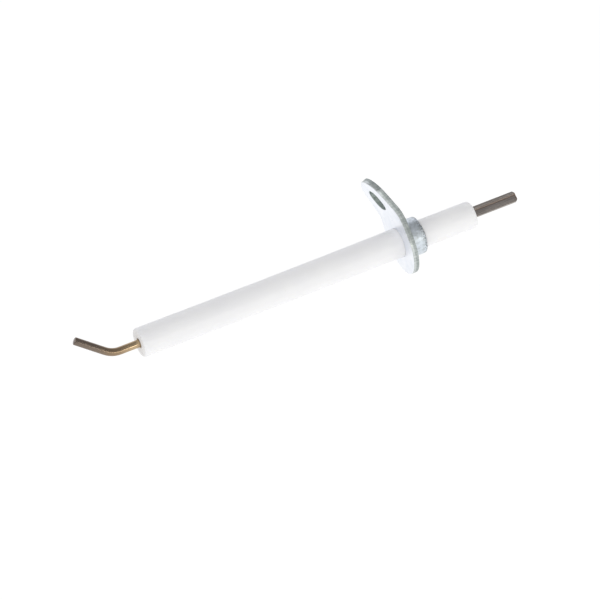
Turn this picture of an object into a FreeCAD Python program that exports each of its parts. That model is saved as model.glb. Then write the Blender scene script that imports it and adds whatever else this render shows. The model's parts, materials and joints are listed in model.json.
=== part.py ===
"""Flame sensor probe: ceramic insulator, electrode rod, slotted steel bracket and blade terminal.

Frame: millimetres. The insulator's axis is X, with +X towards the blade terminal and -X towards the flame.
+Z runs up the bracket's lug. The origin is on the insulator's axis, in the bracket's flame-side face.
"""
import FreeCAD, Part
import math
import os
import re

import Sketcher

V = FreeCAD.Vector
NEAR = 1e-6  # two places this close are one
ON_PATH = 1e-4  # the same, for points found along a bent path
doc = FreeCAD.newDocument("flame_sensor_probe")

# ---- driving dimensions, in mm and degrees
SIZES = [
    # insulator
    ("tubeDia", 7.5, "diameter of the insulator on the flame side"),
    ("tubeLength", 71.0, "bracket face to the flame end of the insulator"),
    ("tailStep", 0.25, "drop from the flame-side radius to the terminal-side radius"),
    ("tailLength", 14.6, "crimped rim of the bush to the terminal end of the insulator"),
    ("tailRound", 1.0, "rounding of the terminal end"),
    ("roundShare", 0.8, "largest share of the socket's wall that this rounding takes"),
    ("glazeThickness", 0.2, "glaze on the tail, which stops short of the bush"),
    ("glazeMargin", 0.3, "crimped rim to the edge of the tail's glaze"),
    ("mouthBreak", 0.25, "broken edge of the flame end"),
    ("boreClearance", 0.25, "gap between rod and bore, on the radius"),
    ("socketGap", 0.35, "gap between the terminal and its socket, on the radius"),
    ("socketDepth", 6.0, "depth of that socket"),
    ("beltHeight", 0.4, "height of the belt above the flame-side diameter"),
    ("beltBreak", 0.2, "chamfer on the belt's edges"),
    # electrode
    ("rodDia", 2.0, "diameter of the electrode rod"),
    ("rodReach", 7.2, "flame end of the insulator to the corner of the rod's bend"),
    ("rodLeg", 10.2, "corner of the bend to the tip"),
    ("rodAngle", 38.0, "turn of the bend"),
    ("rodBend", 6.1, "centreline radius of the bend"),
    ("rodBreak", 0.15, "chamfer of the cropped ends"),
    # bracket
    ("plateThickness", 1.5, "thickness of the bracket"),
    ("discRadius", 8.4, "radius of the bracket round the insulator"),
    ("flankTaper", 11.8, "lean of each flank"),
    ("bendHeight", 6.85, "axis to the corner of the bracket's bend"),
    ("bendAngle", 20.0, "turn of the lug towards the flame"),
    ("bendRadius", 11.3, "radius inside the bend"),
    ("lugReach", 4.8, "corner of the bend to the centre of the lug's tip"),
    ("slotReach", 4.9, "corner of the bend to the middle of the slot"),
    ("slotWidth", 4.8, "width of the screw slot"),
    ("slotLength", 6.0, "length of the screw slot over its round ends"),
    # bush, washer and packing
    ("bushWall", 0.5, "wall of the bush round the belt"),
    ("bushLength", 4.3, "length of the bush behind the bracket"),
    ("spigotWall", 0.5, "wall of the bush inside the bracket's hole"),
    ("spigotFlare", 0.3, "height and depth of the swaged flare"),
    ("bushEntry", 0.3, "countersink at the mouth of the bush"),
    ("tubeClearance", 0.1, "gap between insulator and bush, on the radius"),
    ("seatDepth", 0.5, "back of the bracket to the seat in the bush"),
    ("seatWasher", 0.4, "thickness of the seat washer"),
    ("packingLength", 0.9, "length of the packing ring"),
    ("rimThickness", 0.8, "thickness of the crimped rim"),
    ("rimClearance", 0.15, "gap between rim and insulator, on the radius"),
    ("rimRound", 0.55, "rounding of the rim's outer edge"),
    ("ringClearance", 0.05, "gap beside the washer and the packing, on the radius"),
    # terminal
    ("bladeWidth", 2.8, "width of the blade"),
    ("bladeThickness", 0.8, "thickness of the blade"),
    ("bladeReach", 12.0, "terminal end of the insulator to the blade's tip"),
    ("bladeShift", 0.2, "blade's middle above the axis"),
    ("bladeCorner", 0.5, "chamfer of the blade's tip corners"),
    ("bladeRoll", 20.0, "turn of the blade about the axis"),
    ("seamWidth", 0.2, "width of the folded blade's seam"),
    ("seamDepth", 0.12, "depth of the seam"),
    ("seamOffset", 0.3, "seam to the blade's middle"),
    ("barrelWall", 0.45, "wall of the crimp barrel"),
    ("barrelLength", 4.0, "length of the crimp barrel"),
    ("barrelGap", 0.4, "floor of the socket to the barrel"),
    ("barrelFloor", 0.5, "blade root that closes the barrel"),
    ("cementRecess", 0.25, "depth of the cement below the insulator's end"),
]

sheet = doc.addObject("Spreadsheet::Sheet", "sizes")
for row, (alias, value, note) in enumerate(SIZES, start=1):
    sheet.set(f"A{row}", note)
    sheet.set(f"B{row}", str(value))
    sheet.setAlias(f"B{row}", alias)
doc.recompute()


def cells(expression):
    """Write a sum of sheet names as an expression of the document: tubeDia becomes sizes.tubeDia."""
    names = "|".join(name for name, _, _ in SIZES)
    return re.sub(rf"\b({names})\b", r"sizes.\1", expression)


def number(expression):
    """Value of an expression over the sheet, as a plain number."""
    value = sheet.evalExpression(cells(expression))
    return float(getattr(value, "Value", value))


# ---- places along the axis, worked from the sheet
FLAME_END = "(-tubeLength)"
BUSH_BACK = "(plateThickness + bushLength)"
GLAZE_EDGE = f"({BUSH_BACK} + glazeMargin)"
TAIL_END = f"({BUSH_BACK} + tailLength)"
SEAT = "(plateThickness + seatDepth)"
BELT_FRONT = f"({SEAT} + seatWasher)"
RIM_FRONT = f"({BUSH_BACK} - rimThickness)"
BELT_BACK = f"({RIM_FRONT} - packingLength)"
SOCKET_FLOOR = f"({TAIL_END} - socketDepth)"
BARREL_FRONT = f"({SOCKET_FLOOR} + barrelGap)"
BARREL_BACK = f"({BARREL_FRONT} + barrelLength)"
ROD_BACK = f"({BARREL_BACK} - barrelFloor)"
BLADE_TIP = f"({TAIL_END} + bladeReach)"

# ---- radii shared by pieces that fit together
TUBE_R = "(tubeDia / 2)"
TAIL_R = f"({TUBE_R} - tailStep)"
NECK_R = f"({TAIL_R} - glazeThickness)"
BELT_R = f"({TUBE_R} + beltHeight)"
BUSH_BORE_R = f"({TUBE_R} + tubeClearance)"
CHAMBER_R = f"({BELT_R} + tubeClearance)"
RING_R = f"({CHAMBER_R} - ringClearance)"
BUSH_R = f"({CHAMBER_R} + bushWall)"
SPIGOT_R = f"({BUSH_BORE_R} + spigotWall)"
RIM_BORE_R = f"({TAIL_R} + rimClearance)"
ROD_R = "(rodDia / 2)"
BORE_R = f"({ROD_R} + boreClearance)"
BARREL_R = f"({ROD_R} + barrelWall)"
BLADE_CORNER_R = "sqrt((bladeWidth / 2 + bladeShift)^2 + (bladeThickness / 2)^2)"
SOCKET_R = f"(max({BLADE_CORNER_R}; {BARREL_R}) + socketGap)"


# ---- helpers for bodies, sketches and edges
def new_body(label):
    body = doc.addObject("PartDesign::Body", label)
    body.Label = label
    return body


def origin_plane(body, role):
    return next(item for item in body.Origin.OriginFeatures if item.Role == role)


def new_sketch(body, name, role):
    sketch = body.newObject("Sketcher::SketchObject", name)
    sketch.AttachmentSupport = [(origin_plane(body, role), "")]
    sketch.MapMode = "FlatFace"
    return sketch


def pin_down(sketch, kind, geometry, point, expression):
    """Hold one coordinate of a sketch point at an expression, measured from the sketch's origin."""
    if expression == "0":
        axis = -2 if kind == "DistanceX" else -1
        sketch.addConstraint(Sketcher.Constraint("PointOnObject", geometry, point, axis))
        return
    index = sketch.addConstraint(Sketcher.Constraint(kind, -1, 1, geometry, point, number(expression)))
    sketch.setExpression(f"Constraints[{index}]", cells(expression))


def radius_of(sketch, geometry, expression):
    index = sketch.addConstraint(Sketcher.Constraint("Radius", geometry, number(expression)))
    sketch.setExpression(f"Constraints[{index}]", cells(expression))


def polygon(sketch, corners):
    """Closed outline of straight lines, each corner given as two expressions."""
    points = [V(number(across), number(up), 0) for across, up in corners]
    count = len(points)
    for index in range(count):
        sketch.addGeometry(Part.LineSegment(points[index], points[(index + 1) % count]), False)
    for index, (across, up) in enumerate(corners):
        sketch.addConstraint(Sketcher.Constraint("Coincident", (index - 1) % count, 2, index, 1))
        pin_down(sketch, "DistanceX", index, 1, across)
        pin_down(sketch, "DistanceY", index, 1, up)


def circle(sketch, radius):
    """Circle about the sketch's origin."""
    sketch.addGeometry(Part.Circle(V(0, 0, 0), V(0, 0, 1), number(radius)), False)
    sketch.addConstraint(Sketcher.Constraint("Coincident", 0, 3, -1, 1))
    radius_of(sketch, 0, radius)


def revolve(body, name, corners):
    """Solid of revolution about X from a half profile of (along, radius) corners."""
    sketch = new_sketch(body, name + "_profile", "XZ_Plane")
    polygon(sketch, corners)
    turned = body.newObject("PartDesign::Revolution", name)
    turned.Profile = sketch
    turned.ReferenceAxis = (sketch, ["H_Axis"])
    turned.Angle = 360.0
    doc.recompute()
    return turned


def slide_along_axis(sketch, place):
    """Move a sketch on the YZ plane to a place along X."""
    sketch.setExpression("AttachmentOffset.Base.z", cells(place))


def ring_edges(shape, along, radius):
    """Names of the circular edges about X at one place and radius."""
    found = []
    for index, edge in enumerate(shape.Edges, start=1):
        if not isinstance(edge.Curve, Part.Circle):
            continue
        centre = edge.Curve.Center
        on_axis = abs(centre.y) < NEAR and abs(centre.z) < NEAR
        if on_axis and abs(centre.x - along) < NEAR and abs(edge.Curve.Radius - radius) < NEAR:
            found.append(f"Edge{index}")
    return found


def edge_treatment(body, kind, name, base, edges, size):
    """Fillet or chamfer on named edges, its size bound to the sheet."""
    feature = body.newObject("PartDesign::" + kind, name)
    feature.Base = (base, edges)
    feature.setExpression("Radius" if kind == "Fillet" else "Size", cells(size))
    doc.recompute()
    return feature


def must_shrink(before, after):
    """A cut that removes nothing points the wrong way."""
    if after.Shape.Volume >= before.Shape.Volume - NEAR:
        raise RuntimeError(after.Name + " removed nothing")


def cut_through(body, name, sketch, before):
    """Pocket through the whole body, on both sides of its sketch."""
    pocket = body.newObject("PartDesign::Pocket", name)
    pocket.Profile = sketch
    pocket.Type = "ThroughAll"
    pocket.Midplane = True
    doc.recompute()
    must_shrink(before, pocket)
    return pocket


def cut_depth(body, name, sketch, before, depth, backwards=False):
    pocket = body.newObject("PartDesign::Pocket", name)
    pocket.Profile = sketch
    pocket.setExpression("Length", cells(depth))
    pocket.Reversed = backwards
    doc.recompute()
    must_shrink(before, pocket)
    return pocket


# ---- insulator: one pressed and fired ceramic tube
def make_insulator():
    body = new_body("ceramic_insulator")
    blank = revolve(body, "insulator_blank", [
        (FLAME_END, BORE_R),
        (FLAME_END, TUBE_R),
        (BELT_FRONT, TUBE_R),
        (BELT_FRONT, BELT_R),
        (BELT_BACK, BELT_R),
        (BELT_BACK, NECK_R),
        (GLAZE_EDGE, NECK_R),
        (GLAZE_EDGE, TAIL_R),
        (TAIL_END, TAIL_R),
        (TAIL_END, SOCKET_R),
        (SOCKET_FLOOR, SOCKET_R),
        (SOCKET_FLOOR, BORE_R),
    ])
    belt = ring_edges(blank.Shape, number(BELT_FRONT), number(BELT_R))
    belt += ring_edges(blank.Shape, number(BELT_BACK), number(BELT_R))
    belted = edge_treatment(body, "Chamfer", "belt_edges", blank, belt, "beltBreak")
    tail = ring_edges(belted.Shape, number(TAIL_END), number(TAIL_R))
    rounding = f"min(tailRound; ({TAIL_R} - {SOCKET_R}) * roundShare)"
    rounded = edge_treatment(body, "Fillet", "tail_round", belted, tail, rounding)
    mouth = ring_edges(rounded.Shape, number(FLAME_END), number(TUBE_R))
    mouth += ring_edges(rounded.Shape, number(FLAME_END), number(BORE_R))
    edge_treatment(body, "Fillet", "mouth_break", rounded, mouth, "mouthBreak")
    return body


# ---- electrode: heat-resisting rod, bent into the flame
def make_rod():
    body = new_body("electrode_rod")
    section = new_sketch(body, "rod_section", "YZ_Plane")
    slide_along_axis(section, ROD_BACK)
    circle(section, ROD_R)

    corner = f"({FLAME_END} - rodReach)"
    trim = "(rodBend * tan(rodAngle / 2))"
    bend_start = f"({corner} + {trim})"
    bend_end = (f"({corner} - {trim} * cos(rodAngle))", f"({trim} * sin(rodAngle))")
    tip = (f"({corner} - rodLeg * cos(rodAngle))", "(rodLeg * sin(rodAngle))")
    back = V(number(ROD_BACK), 0, 0)
    start = V(number(bend_start), 0, 0)
    end = V(number(bend_end[0]), number(bend_end[1]), 0)
    far = V(number(tip[0]), number(tip[1]), 0)
    bend_radius = number("rodBend")
    centre = V(start.x, bend_radius, 0)
    turn = math.radians(number("rodAngle"))
    down = -math.pi / 2

    path = new_sketch(body, "rod_path", "XZ_Plane")
    path.addGeometry(Part.LineSegment(back, start), False)
    path.addGeometry(Part.ArcOfCircle(Part.Circle(centre, V(0, 0, 1), bend_radius), down - turn, down), False)
    path.addGeometry(Part.LineSegment(end, far), False)
    path.addConstraint(Sketcher.Constraint("Tangent", 0, 2, 1, 2))
    path.addConstraint(Sketcher.Constraint("Tangent", 1, 1, 2, 1))
    radius_of(path, 1, "rodBend")
    pin_down(path, "DistanceX", 0, 1, ROD_BACK)
    pin_down(path, "DistanceY", 0, 1, "0")
    pin_down(path, "DistanceY", 0, 2, "0")
    pin_down(path, "DistanceX", 2, 2, tip[0])
    pin_down(path, "DistanceY", 2, 2, tip[1])
    pin_down(path, "DistanceX", 0, 2, bend_start)
    doc.recompute()

    pipe = body.newObject("PartDesign::AdditivePipe", "rod")
    pipe.Profile = section
    pipe.Spine = (path, ["Edge1", "Edge2", "Edge3"])
    doc.recompute()
    ends = []
    rod_radius = number(ROD_R)
    for index, edge in enumerate(pipe.Shape.Edges, start=1):
        if not isinstance(edge.Curve, Part.Circle) or abs(edge.Curve.Radius - rod_radius) > NEAR:
            continue
        flat = V(edge.Curve.Center.x, edge.Curve.Center.z, 0)
        if (flat - far).Length < ON_PATH or (flat - back).Length < ON_PATH:
            ends.append(f"Edge{index}")
    edge_treatment(body, "Chamfer", "rod_ends", pipe, ends, "rodBreak")
    return body


# ---- bracket: punched, slotted and bent steel plate
LUG_COS = "cos(bendAngle)"
LUG_SIN = "sin(bendAngle)"
# flanks are flat cuts along X: where they cross the tilted lug they lean a little less
FLANK_NORM = f"(sqrt(cos(flankTaper)^2 + ({LUG_COS} * sin(flankTaper))^2))"
TIP_R = f"((discRadius - (bendHeight + lugReach * {LUG_COS}) * sin(flankTaper)) / {FLANK_NORM})"
PLATE_TOP = f"(bendHeight + lugReach + {TIP_R})"


def lug_sketch(body, name):
    """Sketch in the lug's flame-side face, its origin on the corner of the bend."""
    sketch = new_sketch(body, name, "YZ_Plane")
    lean = FreeCAD.Rotation(V(1, 0, 0), -number("bendAngle"))
    sketch.AttachmentOffset = FreeCAD.Placement(V(0, number("bendHeight"), 0), lean)
    sketch.setExpression("AttachmentOffset.Base.y", cells("bendHeight"))
    sketch.setExpression("AttachmentOffset.Rotation.Angle", cells("-bendAngle"))
    return sketch


def make_plate():
    body = new_body("mounting_plate")
    side = new_sketch(body, "plate_side", "XZ_Plane")
    strip_end = f"(lugReach + {TIP_R} + plateThickness)"
    outer_corner = "(bendHeight + plateThickness * tan(bendAngle / 2))"
    polygon(side, [
        ("0", "-discRadius"),
        ("0", "bendHeight"),
        (f"(-{strip_end} * {LUG_SIN})", f"(bendHeight + {strip_end} * {LUG_COS})"),
        (f"(-{strip_end} * {LUG_SIN} + plateThickness * {LUG_COS})",
         f"(bendHeight + {strip_end} * {LUG_COS} + plateThickness * {LUG_SIN})"),
        ("plateThickness", outer_corner),
        ("plateThickness", "-discRadius"),
    ])
    strip = body.newObject("PartDesign::Pad", "plate_strip")
    strip.Profile = side
    strip.Midplane = True
    strip.setExpression("Length", cells("2 * discRadius"))
    doc.recompute()

    bent = strip
    for name, along, up, radius in (("bend_inside", 0.0, number("bendHeight"), "bendRadius"),
                                    ("bend_outside", number("plateThickness"), number(outer_corner),
                                     "bendRadius + plateThickness")):
        corner = []
        for index, edge in enumerate(bent.Shape.Edges, start=1):
            middle = edge.CenterOfMass
            if abs(middle.x - along) < NEAR and abs(middle.z - up) < NEAR and abs(middle.y) < NEAR:
                corner.append(f"Edge{index}")
        bent = edge_treatment(body, "Fillet", name, bent, corner, radius)

    # the outline: a disc round the insulator with two straight flanks that rise to the lug
    far = "(discRadius + plateThickness)"
    high = f"({PLATE_TOP} + plateThickness)"
    flank_top = f"((discRadius - {high} * sin(flankTaper)) / cos(flankTaper))"
    touch = ("discRadius * cos(flankTaper)", "discRadius * sin(flankTaper)")
    outline = new_sketch(body, "plate_outline", "YZ_Plane")
    run = [(f"-{touch[0]}", touch[1]), (f"-{flank_top}", high), (f"-{far}", high), (f"-{far}", f"-{far}"),
           (far, f"-{far}"), (far, high), (flank_top, high), touch]
    points = [V(number(across), number(up), 0) for across, up in run]
    for first, second in zip(points[:-1], points[1:]):
        outline.addGeometry(Part.LineSegment(first, second), False)
    taper = math.radians(number("flankTaper"))
    disc = Part.Circle(V(0, 0, 0), V(0, 0, 1), number("discRadius"))
    arc = outline.addGeometry(Part.ArcOfCircle(disc, math.pi - taper, 2 * math.pi + taper), False)
    lines = len(points) - 1
    for index, (across, up) in enumerate(run[:-1]):
        pin_down(outline, "DistanceX", index, 1, across)
        pin_down(outline, "DistanceY", index, 1, up)
        if index:
            outline.addConstraint(Sketcher.Constraint("Coincident", index - 1, 2, index, 1))
    outline.addConstraint(Sketcher.Constraint("Coincident", arc, 3, -1, 1))
    outline.addConstraint(Sketcher.Constraint("Coincident", arc, 1, 0, 1))
    outline.addConstraint(Sketcher.Constraint("Coincident", arc, 2, lines - 1, 2))
    pin_down(outline, "DistanceY", lines - 1, 2, touch[1])
    doc.recompute()
    trimmed = cut_through(body, "plate_flanks", outline, bent)

    # the lug's round tip, tangent to both flanks
    tip_touch = f"(lugReach + {TIP_R} * {LUG_COS} * sin(flankTaper) / {FLANK_NORM})"
    tip_half = f"({TIP_R} * cos(flankTaper) / {FLANK_NORM})"
    tip = lug_sketch(body, "lug_tip_outline")
    tip_high = f"(lugReach + {TIP_R} + 2 * plateThickness)"
    run = [(tip_half, tip_touch), (far, tip_touch), (far, tip_high), (f"-{far}", tip_high),
           (f"-{far}", tip_touch), (f"-{tip_half}", tip_touch)]
    points = [V(number(across), number(up), 0) for across, up in run]
    for first, second in zip(points[:-1], points[1:]):
        tip.addGeometry(Part.LineSegment(first, second), False)
    centre = V(0, number("lugReach"), 0)
    lean = math.atan2(points[0].y - centre.y, points[0].x)
    round_tip = Part.Circle(centre, V(0, 0, 1), number(TIP_R))
    arc = tip.addGeometry(Part.ArcOfCircle(round_tip, lean, math.pi - lean), False)
    lines = len(points) - 1
    for index, (across, up) in enumerate(run[:-1]):
        if index:
            pin_down(tip, "DistanceX", index, 1, across)
            tip.addConstraint(Sketcher.Constraint("Coincident", index - 1, 2, index, 1))
        pin_down(tip, "DistanceY", index, 1, up)
    pin_down(tip, "DistanceY", lines - 1, 2, tip_touch)
    pin_down(tip, "DistanceX", arc, 3, "0")
    pin_down(tip, "DistanceY", arc, 3, "lugReach")
    radius_of(tip, arc, TIP_R)
    tip.addConstraint(Sketcher.Constraint("Coincident", arc, 1, 0, 1))
    tip.addConstraint(Sketcher.Constraint("Coincident", arc, 2, lines - 1, 2))
    doc.recompute()
    tipped = cut_through(body, "lug_tip", tip, trimmed)

    # the screw slot runs along the lug
    slot = lug_sketch(body, "slot_outline")
    half = "((slotLength - slotWidth) / 2)"
    slot_r = number("slotWidth / 2")
    upper = V(0, number(f"slotReach + {half}"), 0)
    lower = V(0, number(f"slotReach - {half}"), 0)
    side_step = V(slot_r, 0, 0)
    slot.addGeometry(Part.ArcOfCircle(Part.Circle(upper, V(0, 0, 1), slot_r), 0, math.pi), False)
    slot.addGeometry(Part.LineSegment(upper - side_step, lower - side_step), False)
    slot.addGeometry(Part.ArcOfCircle(Part.Circle(lower, V(0, 0, 1), slot_r), math.pi, 2 * math.pi), False)
    slot.addGeometry(Part.LineSegment(lower + side_step, upper + side_step), False)
    for first, first_end, second, second_end in ((0, 2, 1, 1), (1, 2, 2, 1), (2, 2, 3, 1), (3, 2, 0, 1)):
        slot.addConstraint(Sketcher.Constraint("Tangent", first, first_end, second, second_end))
    pin_down(slot, "DistanceX", 0, 3, "0")
    pin_down(slot, "DistanceY", 0, 3, f"slotReach + {half}")
    pin_down(slot, "DistanceX", 2, 3, "0")
    pin_down(slot, "DistanceY", 2, 3, f"slotReach - {half}")
    radius_of(slot, 0, "slotWidth / 2")
    doc.recompute()
    slotted = cut_through(body, "screw_slot", slot, tipped)

    # the hole that the bush is swaged into
    hole = new_sketch(body, "bush_hole_outline", "YZ_Plane")
    circle(hole, SPIGOT_R)
    doc.recompute()
    bored = cut_through(body, "bush_hole", hole, slotted)
    rim = ring_edges(bored.Shape, 0.0, number(SPIGOT_R))
    edge_treatment(body, "Chamfer", "bush_hole_flare", bored, rim, "spigotFlare")
    return body


# ---- bush: swaged into the bracket, crimped on the belt
def make_bush():
    body = new_body("clamp_bush")
    turned = revolve(body, "bush", [
        ("0", f"({BUSH_BORE_R} + bushEntry)"),
        ("0", f"({SPIGOT_R} + spigotFlare)"),
        ("spigotFlare", SPIGOT_R),
        ("plateThickness", SPIGOT_R),
        ("plateThickness", BUSH_R),
        (BUSH_BACK, BUSH_R),
        (BUSH_BACK, RIM_BORE_R),
        (RIM_FRONT, RIM_BORE_R),
        (RIM_FRONT, CHAMBER_R),
        (SEAT, CHAMBER_R),
        (SEAT, BUSH_BORE_R),
        ("bushEntry", BUSH_BORE_R),
    ])
    rim = ring_edges(turned.Shape, number(BUSH_BACK), number(BUSH_R))
    edge_treatment(body, "Fillet", "rim_round", turned, rim, "rimRound")
    return body


def make_ring(label, front, back, inner, outer):
    """Flat ring about X between two places."""
    body = new_body(label)
    revolve(body, label + "_ring", [(front, inner), (front, outer), (back, outer), (back, inner)])
    return body


# ---- terminal: folded blade with a crimp barrel
def roll_about_axis(body):
    body.Placement = FreeCAD.Placement(V(0, 0, 0), FreeCAD.Rotation(V(1, 0, 0), -number("bladeRoll")))
    body.setExpression("Placement.Rotation.Angle", cells("-bladeRoll"))


def blade_outline(body, name, front, back):
    """Side view of the blade between two places, for a pad or a pocket of its thickness."""
    sketch = new_sketch(body, name, "XZ_Plane")
    lower = "bladeShift - bladeWidth / 2"
    upper = "bladeShift + bladeWidth / 2"
    polygon(sketch, [(front, lower), (front, upper), (back, upper), (back, lower)])
    doc.recompute()
    return sketch


def make_terminal():
    body = new_body("terminal_tab")
    blade = body.newObject("PartDesign::Pad", "blade")
    blade.Profile = blade_outline(body, "blade_outline", ROD_BACK, BLADE_TIP)
    blade.Midplane = True
    blade.setExpression("Length", cells("bladeThickness"))
    doc.recompute()

    tip = number(BLADE_TIP)
    half = number("bladeWidth / 2")
    height = number("bladeShift")
    corners = []
    for index, edge in enumerate(blade.Shape.Edges, start=1):
        middle = edge.CenterOfMass
        if abs(middle.x - tip) < NEAR and abs(abs(middle.z - height) - half) < NEAR:
            corners.append(f"Edge{index}")
    nosed = edge_treatment(body, "Chamfer", "blade_corners", blade, corners, "bladeCorner")

    seam = new_sketch(body, "seam_outline", "YZ_Plane")
    slide_along_axis(seam, TAIL_END)
    surface = "-bladeThickness / 2"
    middle = "bladeShift + seamOffset"
    polygon(seam, [(surface, f"{middle} - seamWidth / 2"), (surface, f"{middle} + seamWidth / 2"),
                   ("seamDepth - bladeThickness / 2", middle)])
    doc.recompute()
    folded = cut_depth(body, "seam", seam, nosed, "bladeReach", backwards=True)

    barrel = new_sketch(body, "barrel_outline", "YZ_Plane")
    slide_along_axis(barrel, BARREL_FRONT)
    circle(barrel, BARREL_R)
    tube = body.newObject("PartDesign::Pad", "barrel")
    tube.Profile = barrel
    tube.setExpression("Length", cells("barrelLength"))
    doc.recompute()
    if tube.Shape.Volume <= folded.Shape.Volume:
        raise RuntimeError("the barrel added nothing")

    bore = new_sketch(body, "barrel_bore_outline", "YZ_Plane")
    slide_along_axis(bore, BARREL_FRONT)
    circle(bore, ROD_R)
    doc.recompute()
    cut_depth(body, "barrel_bore", bore, tube, f"{ROD_BACK} - {BARREL_FRONT}", backwards=True)
    roll_about_axis(body)
    return body


# ---- cement: fills the socket round the terminal
def make_cement():
    body = new_body("terminal_cement")
    plug = new_sketch(body, "plug_outline", "YZ_Plane")
    slide_along_axis(plug, SOCKET_FLOOR)
    circle(plug, SOCKET_R)
    filled = body.newObject("PartDesign::Pad", "plug")
    filled.Profile = plug
    filled.setExpression("Length", cells("socketDepth - cementRecess"))
    doc.recompute()

    rod_hole = new_sketch(body, "rod_hole_outline", "YZ_Plane")
    slide_along_axis(rod_hole, SOCKET_FLOOR)
    circle(rod_hole, ROD_R)
    doc.recompute()
    drilled = cut_depth(body, "rod_hole", rod_hole, filled, "barrelGap", backwards=True)

    barrel_hole = new_sketch(body, "barrel_hole_outline", "YZ_Plane")
    slide_along_axis(barrel_hole, BARREL_FRONT)
    circle(barrel_hole, BARREL_R)
    doc.recompute()
    opened = cut_depth(body, "barrel_hole", barrel_hole, drilled, "barrelLength", backwards=True)

    blade_hole = body.newObject("PartDesign::Pocket", "blade_hole")
    blade_hole.Profile = blade_outline(body, "blade_hole_outline", ROD_BACK, BLADE_TIP)
    blade_hole.Midplane = True
    blade_hole.setExpression("Length", cells("bladeThickness"))
    doc.recompute()
    must_shrink(opened, blade_hole)
    roll_about_axis(body)
    return body


pieces = [
    make_insulator(),
    make_rod(),
    make_plate(),
    make_bush(),
    make_ring("seat_washer", SEAT, BELT_FRONT, f"({TUBE_R} + ringClearance)", RING_R),
    make_ring("packing_ring", BELT_BACK, RIM_FRONT, f"({NECK_R} + ringClearance)", RING_R),
    make_terminal(),
    make_cement(),
]
doc.recompute()

# ---- check everything, then write one file per piece
faults = [item.Name for item in doc.Objects if {"Invalid", "Error"} & set(item.State)]
for piece in pieces:
    if piece.Shape.isNull() or not piece.Shape.isValid() or len(piece.Shape.Solids) != 1:
        faults.append(piece.Label)
if faults:
    raise RuntimeError("not built: " + ", ".join(faults))

os.makedirs("parts", exist_ok=True)
for piece in pieces:
    piece.Shape.exportStep(f"parts/{piece.Label}.step")
    box = piece.Shape.BoundBox
    print(f"{piece.Label}: {piece.Shape.Volume:.2f} mm3, x {box.XMin:.2f} to {box.XMax:.2f}, "
          f"y {box.YMin:.2f} to {box.YMax:.2f}, z {box.ZMin:.2f} to {box.ZMax:.2f}")
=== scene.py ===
# %% [markdown]
# # Flame sensor probe
# A flame sensor probe stands in a burner and carries a tiny current through the flame. A heat-resisting
# wire runs down a glazed ceramic tube, a zinc-plated steel bracket holds the tube, and a flat blade at the
# cool end takes a push-on connector. The solid model gives every size and place. This lesson rebuilds the
# surfaces that show, because a finished surface needs rounded edges, tool marks and materials that a plain
# solid doesn't have.

# %% Load the frame
import json
import math

import bmesh
import bpy
from mathutils import Matrix, Vector, noise


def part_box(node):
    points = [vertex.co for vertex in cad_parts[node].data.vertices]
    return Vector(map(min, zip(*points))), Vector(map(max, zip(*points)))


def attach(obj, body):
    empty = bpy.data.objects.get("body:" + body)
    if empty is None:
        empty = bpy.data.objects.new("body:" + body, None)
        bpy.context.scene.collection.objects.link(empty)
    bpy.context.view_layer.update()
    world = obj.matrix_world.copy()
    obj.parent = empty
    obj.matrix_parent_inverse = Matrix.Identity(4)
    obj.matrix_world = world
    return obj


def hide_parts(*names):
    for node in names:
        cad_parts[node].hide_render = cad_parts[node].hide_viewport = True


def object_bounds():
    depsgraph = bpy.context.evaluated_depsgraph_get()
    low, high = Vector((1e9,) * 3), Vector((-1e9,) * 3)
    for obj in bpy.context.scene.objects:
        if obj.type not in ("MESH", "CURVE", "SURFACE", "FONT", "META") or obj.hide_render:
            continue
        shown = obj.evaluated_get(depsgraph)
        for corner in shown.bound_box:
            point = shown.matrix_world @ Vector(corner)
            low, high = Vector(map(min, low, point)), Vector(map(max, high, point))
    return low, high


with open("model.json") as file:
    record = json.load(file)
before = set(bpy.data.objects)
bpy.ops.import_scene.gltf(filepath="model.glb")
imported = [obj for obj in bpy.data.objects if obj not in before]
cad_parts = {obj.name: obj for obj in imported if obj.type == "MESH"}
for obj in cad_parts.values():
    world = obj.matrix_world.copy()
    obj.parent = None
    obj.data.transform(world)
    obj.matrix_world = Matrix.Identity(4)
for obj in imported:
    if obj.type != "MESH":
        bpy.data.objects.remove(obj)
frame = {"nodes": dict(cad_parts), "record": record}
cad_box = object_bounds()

MM = 0.001
print("solid model, mm:", [[round(value / MM, 2) for value in corner] for corner in cad_box])

# %% [markdown]
# ## Sizes
# A lesson piece that repeats a size by hand goes wrong when the solid changes. So most sizes are read back
# from the solids: a box gives ends and outer radii, the points of a solid give its bore, and the mounts
# give the lug's slant and the slot's place. Only what no solid states is written here.

# %% Read the boxes
def span(node):
    """Start and end along X of a solid, and its outer radius or half width, in metres."""
    low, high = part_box(node)
    return low[0], high[0], high[1]


def radii(node):
    """Distance from the axis of every point of a solid, with its place along X."""
    return [(point.co.x, math.hypot(point.co.y, point.co.z)) for point in frame["nodes"][node].data.vertices]


FLAME_END, TAIL_END, BELT_R = span("ceramic_insulator")
SEAT_FRONT, BELT_FRONT, _ = span("seat_washer")
BELT_BACK, RIM_FRONT, CHAMBER_R = span("packing_ring")
_, BUSH_BACK, BUSH_R = span("clamp_bush")
_, PLATE_T, DISC_R = span("mounting_plate")
SOCKET_FLOOR, CEMENT_FACE, SOCKET_R = span("terminal_cement")
BARREL_FRONT, BLADE_TIP, _ = span("terminal_tab")
_, ROD_BACK, ROD_R = span("electrode_rod")

insulator_points = radii("ceramic_insulator")
TUBE_R = max(radius for along, radius in insulator_points if along < SEAT_FRONT)
BORE_R = min(radius for along, radius in insulator_points)
BUSH_BORE_R = min(radius for along, radius in radii("clamp_bush") if along < SEAT_FRONT)
print("tube", round(TUBE_R / MM, 2), "bore", round(BORE_R / MM, 2), "bush bore", round(BUSH_BORE_R / MM, 2))

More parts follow.
